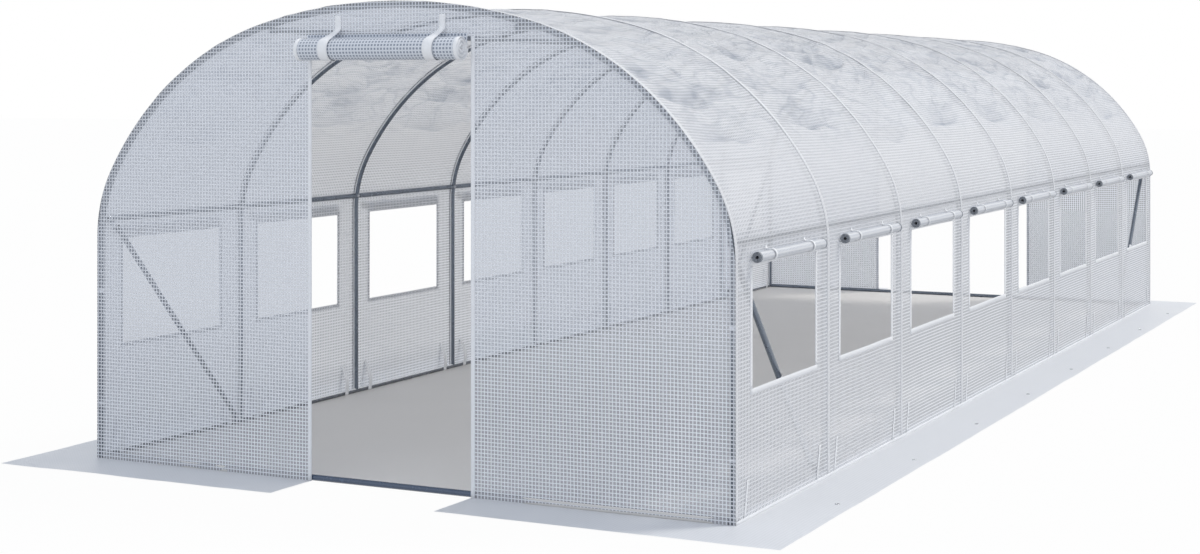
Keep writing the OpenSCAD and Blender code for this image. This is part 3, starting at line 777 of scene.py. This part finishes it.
def build_window_rolls():
    """A rolled-up cover above each window, one piece for each wall, with painted shade: darker inner turns and a
    dark spiral on each end for the shaded hollow of the roll.
    """
    sheet_t, core, turns, tail, steps, stations = 0.0008, 0.007, 5, 0.020, 20, 46
    end_shade_in, end_shade_w, end_shade_t = 0.006, 0.010, 0.0026
    section = spiral(WIN_ROLL_R - sheet_t, core, turns, tail, steps)
    rim = section[:-TAIL_POINTS]
    # Painted shade: the inner turns take the darker film.
    inside = np.arange(len(section) - 1) < len(rim) - 1 - steps
    marks = np.broadcast_to(inside, (stations - 1, len(inside))).astype(int).ravel()
    axis_x = HALF_W + (SEAT + WIN_ROLL_R)
    w = np.linspace(-WIN_ROLL_L / 2, WIN_ROLL_L / 2, stations)
    for name, k in SIDES:
        parts, edges = Parts(), Parts()
        for i, y0 in enumerate(BAY_Y):
            squeeze = pinched(w, WIN_TIE_Y, 0.08, 0.02) + 0.03 * noise(w * 11, i * 3.3 + k)
            wobble = 0.001 * noise(w * 6, i * 5.1 + k)
            along, out, up, uv, long = roll_surface(section, w, squeeze, wobble)
            verts = points(k * (axis_x + out), y0 + along, WIN_ROLL_Z + up)
            parts.add(verts, grid_faces(*out.shape), uv, marks)
            # Painted shade: a dark spiral on each end of the roll.
            for e in (-1, 1):
                end_y = y0 + e * (WIN_ROLL_L / 2 - end_shade_in)
                path = points(k * (axis_x + rim[:, 0]), end_y, WIN_ROLL_Z + rim[:, 1])
                edges.add(*sweep(path, (0, 1, 0), end_shade_w, end_shade_t))
        piece = parts.piece(f"{name}_rolled_windows", WINDOW, "cover", (f"{name}_window_rolls",), ROLL_INNER_SHADE)
        end_shades = edges.piece(f"{name}_rolled_window_end_shades", ROLL_END_SHADE, "strap")


def tangent_to(start, axis, r):
    """Angle and place at which a strap from a start point touches a roll or tube of radius r."""
    span = axis - start
    angle = math.atan2(span[1], span[0]) + math.asin(r / np.linalg.norm(span)) + math.pi / 2
    return angle, axis + r * toward(angle)


def strap_path(axis, r, turn_z, top_z, face):
    """Path of a strap in (out, up): down the cover, out over a roll in one easy bend and round it."""
    lead, eased, tail_end = 0.012, 0.45, math.radians(-170)
    start = np.array([face, turn_z])
    tangent, touch = tangent_to(start, axis, r)
    down = [np.array([face, z]) for z in np.linspace(top_z, turn_z + lead, 6)]
    bend = []
    for t in np.linspace(0, 1, 9)[1:-1]:
        out = start + (touch - start) * eased
        bend.append((1 - t) ** 2 * down[-1] + 2 * t * (1 - t) * start + t * t * out)
    over = [start + (touch - start) * t for t in np.linspace(eased, 1, 5)]
    wrap = [axis + r * toward(a) for a in np.linspace(tangent, tail_end, 30)[1:]]
    return np.array(down + bend + over + wrap)


def build_straps():
    """Straps round the door rolls, wider on the roll and drifting to one side, and ties round the window rolls."""
    strap_w, wider, strap_face = 0.028, 0.017, 0.0010
    tie_w, tie_turn, tie_top, tie_face = 0.014, 0.021, 0.034, 0.0008
    axis = np.array([SEAT + ROLL_R, ROLL_Z])
    path = strap_path(axis, ROLL_R + STRAP_GAP, ROLL_Z + STRAP_TURN, STRAP_TOP, strap_face)
    above = path[:, 1] - ROLL_Z
    drift = STRAP_DRIFT * smooth(STRAP_TURN, 0.02, above)
    width = strap_w + wider * smooth(STRAP_TURN, 0.03, above)
    for name, k, door_w in ENDS:
        parts = Parts()
        for e in (-1, 1):
            line = points(e * (door_w / 2 - STRAP_INSET) - drift, k * (HALF_L + path[:, 0]), path[:, 1])
            parts.add(*sweep(line, (1, 0, 0), width, STRAP_T))
        parts.piece(f"{name}_door_webbing", TAPE, "strap", (f"{name}_door_straps",))
    axis = np.array([SEAT + WIN_ROLL_R, WIN_ROLL_Z])
    path = strap_path(axis, WIN_ROLL_R + STRAP_GAP, WIN_ROLL_Z + tie_turn, WIN_ROLL_Z + tie_top, tie_face)
    for name, k in SIDES:
        parts = Parts()
        for y0 in BAY_Y:
            for e in (-1, 1):
                line = points(k * (HALF_W + path[:, 0]), y0 + e * WIN_TIE_Y, path[:, 1])
                parts.add(*sweep(line, (0, 1, 0), tie_w, STRAP_T))
        parts.piece(f"{name}_window_webbing", TAPE, "strap", (f"{name}_window_ties",))


def build_hems():
    """White hems beside the doorways and round the windows."""
    door_from, door_lift, door_t = 0.002, 0.0008, 0.0016
    win_lift, win_t = 0.0004, 0.0022
    upright = np.linspace(door_from, DOOR_H, 60)
    for name, k, door_w in ENDS:
        parts = Parts()
        for e in (-1, 1):
            line = points(e * (door_w / 2 + DOOR_HEM / 2), k * (HALF_L + door_lift), upright)
            parts.add(*sweep(line, (1, 0, 0), DOOR_HEM, door_t))
        parts.piece(f"{name}_door_hem_tapes", HEM, "strap", (f"{name}_door_hems",))
    h, t = WIN_HEM / 2, np.linspace(0, 1, 26)
    lo, hi = WIN_SILL - h, WIN_SILL + WIN_H + h
    wide_up, wide_along = (0, 0, 1), (0, 1, 0)
    for name, k in SIDES:
        parts = Parts()
        for y0 in BAY_Y:
            a, b = y0 - WIN_W / 2 - h, y0 + WIN_W / 2 + h
            bars = ((a - h, lo, b + h, lo, wide_up), (a - h, hi, b + h, hi, wide_up),
                    (a, lo + h, a, hi - h, wide_along), (b, lo + h, b, hi - h, wide_along))
            for y1, z1, y2, z2, side in bars:
                y, z = y1 + (y2 - y1) * t, z1 + (z2 - z1) * t
                line = points(k * (HALF_W + wall_offset(k, z, y) + win_lift), y, z)
                parts.add(*sweep(line, side, WIN_HEM, win_t))
        parts.piece(f"{name}_window_hem_tapes", TRIM, "strap", (f"{name}_window_hems",))


def beside_hoops(away):
    """Places along the tunnel at a distance from the hoops, two in each bay."""
    return [y for a, b in zip(HOOP_Y[:-1], HOOP_Y[1:]) for y in (a + away, b - away)]


def build_cover_ties():
    """White ties from the inside of the wall, bowed in to the ground rail and hooked round it."""
    away, top, face, r = 0.110, 0.155, 0.0012, TUBE_R + 0.0011
    bow, tie_w, tie_t, slant, hook_end = 0.018, 0.030, 0.0016, 0.012, math.radians(-33)
    start, rail = np.array([face, top]), np.array([TUBE_R + 0.0003, TUBE_R])
    tangent, touch = tangent_to(start, rail, r)
    t = np.linspace(0, 1, 14)
    lean = np.outer(1 - t, start) + np.outer(t, touch) + np.outer(bow * np.sin(np.pi * t), [1, 0])
    wrap = [rail + r * toward(a) for a in np.linspace(tangent, hook_end, 9)[1:]]
    path = np.concatenate([lean, wrap])
    width = tie_w * (0.50 + 0.50 * smooth(0.0, 0.5, np.concatenate([t, np.ones(len(wrap))])))
    drift = slant * (1 - path[:, 1] / top) - slant / 2
    for name, k in SIDES:
        parts = Parts()
        for y in beside_hoops(away):
            line = points(k * (HALF_W - COVER_T - path[:, 0]), y + drift, path[:, 1])
            parts.add(*sweep(line, (0, 1, 0), width, tie_t))
        parts.piece(f"{name}_tie_tapes", TAPE, "strap", (f"{name}_cover_ties",))


# Trim and fittings
def build_seams():
    """Seam strips on the cover over the hoops."""
    sunk, seam_w, seam_t = 0.0002, 0.026, 0.0008
    seams = Parts()
    x, z, nx, nz = outline(ARCH)
    for y in HOOP_Y:
        out = cover_offset(ARCH, np.full(len(ARCH), y)) - sunk
        seams.add(*sweep(points(x + nx * out, y, z + nz * out), (0, 1, 0), seam_w, seam_t))
    seams.piece("hoop_seams", SEAM, "cover")


def build_wall_tapes():
    """Slanted tapes on the foot of the walls beside the hoops, and a narrow hem along each foot."""
    away, low, top, slant, tape_w, tape_t = 0.105, 0.015, 0.150, 0.035, 0.013, 0.0012
    tape_lift, hem_lift, hem_z, hem_in = 0.0006, 0.0003, 0.0075, 0.006
    tapes = Parts()
    h = np.linspace(low, top, 12)
    along = np.linspace(-HALF_L + hem_in, HALF_L - hem_in, 240)
    foot = np.full(len(along), hem_z)
    for k in (-1, 1):
        for y in beside_hoops(away):
            line = points(k * (HALF_W + tape_lift), y - slant * (1 - h / top), h)
            tapes.add(*sweep(line, (0, 1, 0), tape_w, tape_t))
        hem = points(k * (HALF_W + wall_offset(k, foot, along) + hem_lift), along, foot)
        tapes.add(*sweep(hem, (0, 0, 1), tape_w, tape_t))
    tapes.piece("wall_foot_tapes", TAPE, "strap")


def build_sill_edges():
    """Thin grey edges in front of the sill bars."""
    depth, height, end_shade_w, end_shade_t, end_in = 0.0019, 0.0130, 0.0245, 0.0004, 0.030
    edges = Parts()
    for _, k, door_w in ENDS:
        across = np.linspace(door_w / 2 + DOOR_HEM, HALF_W - end_in, 40)
        for e in (-1, 1):
            edges.add(*sweep(points(e * across, k * (HALF_L - depth), height), (0, 0, 1), end_shade_w, end_shade_t))
    edges.piece("sill_edges", GROUND, "ground_sheet")


def build_highlight_sleeves():
    """White shells round the outer faces of the hoops and braces and over the ground rails, a painted highlight for
    the light that the tubes catch; on the rails they reach over the top as the top highlight. Angles in radians.
    """
    half_turn, end_turn, brace_turn, rail_from, rail_to = 1.55, 0.5, 1.5, -1.2, 2.45
    rail_y = np.linspace(-3.95, 3.95, 60)
    run = np.linspace(0.75, 1.28, 20)
    highlight_shells = Parts()
    x, z, nx, nz = outline(ARCH)
    for i, y in enumerate(HOOP_Y):
        low, high = -(end_turn if i == 0 else half_turn), (end_turn if i == BAYS else half_turn)
        axis = points(x - nx * TUBE_DEPTH, y, z - nz * TUBE_DEPTH)
        highlight_shells.add(*sleeve(axis, points(nx, 0, nz), (0, 1, 0), low, high))
    out = np.array([1.0, 0, 0]) - BRACE_ALONG * BRACE_ALONG[0]
    out /= np.linalg.norm(out)
    for kx in (-1, 1):
        rail = points(kx * RAIL_X, rail_y, TUBE_R)
        # Painted highlight: the white reaches over the rail's top.
        highlight_shells.add(*sleeve(rail, (kx, 0, 0), (0, 0, 1), rail_from, rail_to))
        for ky in (1, -1):
            flip = np.array([kx, ky, 1])
            axis = (BRACE_TOP - [TUBE_R, 0, 0] + np.outer(run, BRACE_ALONG)) * flip
            highlight_shells.add(*sleeve(axis, out * flip, np.cross(BRACE_ALONG, out) * flip, -brace_turn, brace_turn))
    highlight_shells.piece("tube_painted_highlights", TAPE, "strap")


def build_bands():
    """White bands round the legs of the end hoops."""
    heights, band_w, band_t, r = (0.239, 0.725), 0.016, 0.0009, TUBE_R + 0.00055
    bands = Parts()
    a = np.linspace(0, 2 * math.pi, 33)
    for y in (HOOP_Y[0], HOOP_Y[-1]):
        for k in (-1, 1):
            for height in heights:
                ring = points(k * RAIL_X + r * np.cos(a), y + r * np.sin(a), height)
                bands.add(*sweep(ring, (0, 0, 1), band_w, band_t))
    bands.piece("end_hoop_bands", TAPE, "strap")


def build_fittings():
    """Bolts through the braces and purlins, and a white clip near the top of each brace."""
    dome = [(0.0, 0.0052), (0.0035, 0.0049), (0.0062, 0.0036), (0.0078, 0.0010), (0.0100, 0.0008), (0.0102, 0.0)]
    cap = [(0.0, 0.0092), (0.0060, 0.0088), (0.0098, 0.0068), (0.0118, 0.0028), (0.0122, 0.0)]
    clip_down, bolt_sunk = 0.034, 0.0004
    bolts, clips = Parts(), Parts()
    tab = [BRACE_TAB_T, 0, 0]
    for kx in (-1, 1):
        for ky in (1, -1):
            flip = np.array([kx, ky, 1])
            for p in (BRACE_TOP, BRACE_FOOT):
                bolts.add(*lathe(dome, (p - tab) * flip, (-kx, 0, 0)))
            clips.add(*lathe(cap, (BRACE_TOP + BRACE_ALONG * clip_down - tab) * flip, (-kx, 0, 0)))
        for y in HOOP_Y:
            bolts.add(*lathe(dome, (kx * (PURLIN_X - TUBE_R + bolt_sunk), y, PURLIN_Z), (-kx, 0, 0)))
    bolts.piece("frame_bolts", BOLT, "tube")
    clips.piece("brace_clips", CLIP, "strap")


def build_ground():
    """The ground sheet between the rails, slightly uneven away from its edges."""
    inset, step, lift, rise, wave = 0.0071, 0.06, 0.0016, 0.0012, 0.0018
    sx, sy = RAIL_X - inset, FRAME_HALF_L - inset
    x, y = np.meshgrid(cut_lines([-sx, sx], step), cut_lines([-sy, sy], step), indexing="ij")
    edge = smooth(0.0, 0.1, np.minimum(sx - np.abs(x), sy - np.abs(y)))
    z = lift + edge * (wave * noise(x * 1.4, y * 1.4 + 6) + rise)
    piece = mesh_piece("ground_cloth", points(x, y, z), grid_faces(*x.shape), points(x, y), GROUND,
                       ("ground_sheet",))


def dress_tubes():
    """Give the frame's own tubes their metal."""
    for name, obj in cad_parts.items():
        if name.startswith("hoop_") or name.endswith(("_rail", "_bar", "_purlin", "_brace")):
            obj.data.materials.clear()
            # Painted shade: the rails and the front sill bar take the darker metal copies.
            kind = SHADED_SILL_METAL if name == "front_sill_bar" else SHADED_RAIL_METAL if name.endswith("_rail") else TUBE
            obj.data.materials.append(kind)


for build in (build_cover, build_ends, build_skirts, build_door_rolls, build_window_rolls, build_straps,
              build_hems, build_cover_ties, build_seams, build_wall_tapes, build_sill_edges, build_highlight_sleeves,
              build_bands, build_fittings, build_ground, dress_tubes):
    build()


# Floor, world and lamps
def seen_white(nt, share):
    """How much of the plain white background a ray sees: all of it straight on, none through the film."""
    ray = add(nt, "ShaderNodeLightPath").outputs
    seen = math_node(nt, "MAXIMUM", ray["Is Glossy Ray"], ray["Is Transmission Ray"])
    seen = math_node(nt, "MAXIMUM", ray["Is Camera Ray"], seen)
    straight = math_node(nt, "LESS_THAN", ray["Transparent Depth"], 0.5)
    return times(nt, times(nt, seen, straight), share)


def sun(name, energy, spread, colour, direction):
    """A sun that shines from a direction, spread over an angle in degrees."""
    lamp = bpy.data.objects.new(name, bpy.data.lights.new(name, "SUN"))
    lamp.data.energy, lamp.data.angle, lamp.data.color = energy, math.radians(spread), colour
    lamp.rotation_euler = Vector(direction).to_track_quat("Z", "Y").to_euler()
    bpy.context.collection.objects.link(lamp)


def build_stage():
    """A white floor that takes shadows, a pale world, a warm key from behind and a cool fill from the front."""
    half, down, floor_grey, floor_white = 60.0, -0.002, 0.60, 0.97
    data = bpy.data.meshes.new("floor")
    corners = [(-half, -half, down), (half, -half, down), (half, half, down), (-half, half, down)]
    data.from_pydata(corners, [], [(0, 1, 2, 3)])
    floor = bpy.data.objects.new("floor", data)
    bpy.context.collection.objects.link(floor)
    mat, nt = new_material("floor_white")
    diffuse = node_with(nt, "ShaderNodeBsdfDiffuse", {"Color": (floor_grey,) * 3})
    to_surface(nt, mix_shaders(nt, seen_white(nt, floor_white), diffuse, add(nt, "ShaderNodeEmission")))
    data.materials.append(mat)

    world = bpy.data.worlds.new("studio")
    bpy.context.scene.world = world
    world.use_nodes = True
    nt = world.node_tree
    nt.nodes.clear()
    soft = node_with(nt, "ShaderNodeBackground", {"Color": (0.64, 0.68, 0.75), "Strength": 1.10})
    white = node_with(nt, "ShaderNodeBackground", {"Color": (1, 1, 1)})
    to_surface(nt, mix_shaders(nt, seen_white(nt, 1.0), soft, white), "ShaderNodeOutputWorld")

    sun("key", 1.38, 12, (1.0, 0.965, 0.91), (0.42, 0.40, 0.81))
    sun("fill", 0.26, 60, (0.93, 0.96, 1.0), (-0.25, -0.90, 0.36))


build_stage()
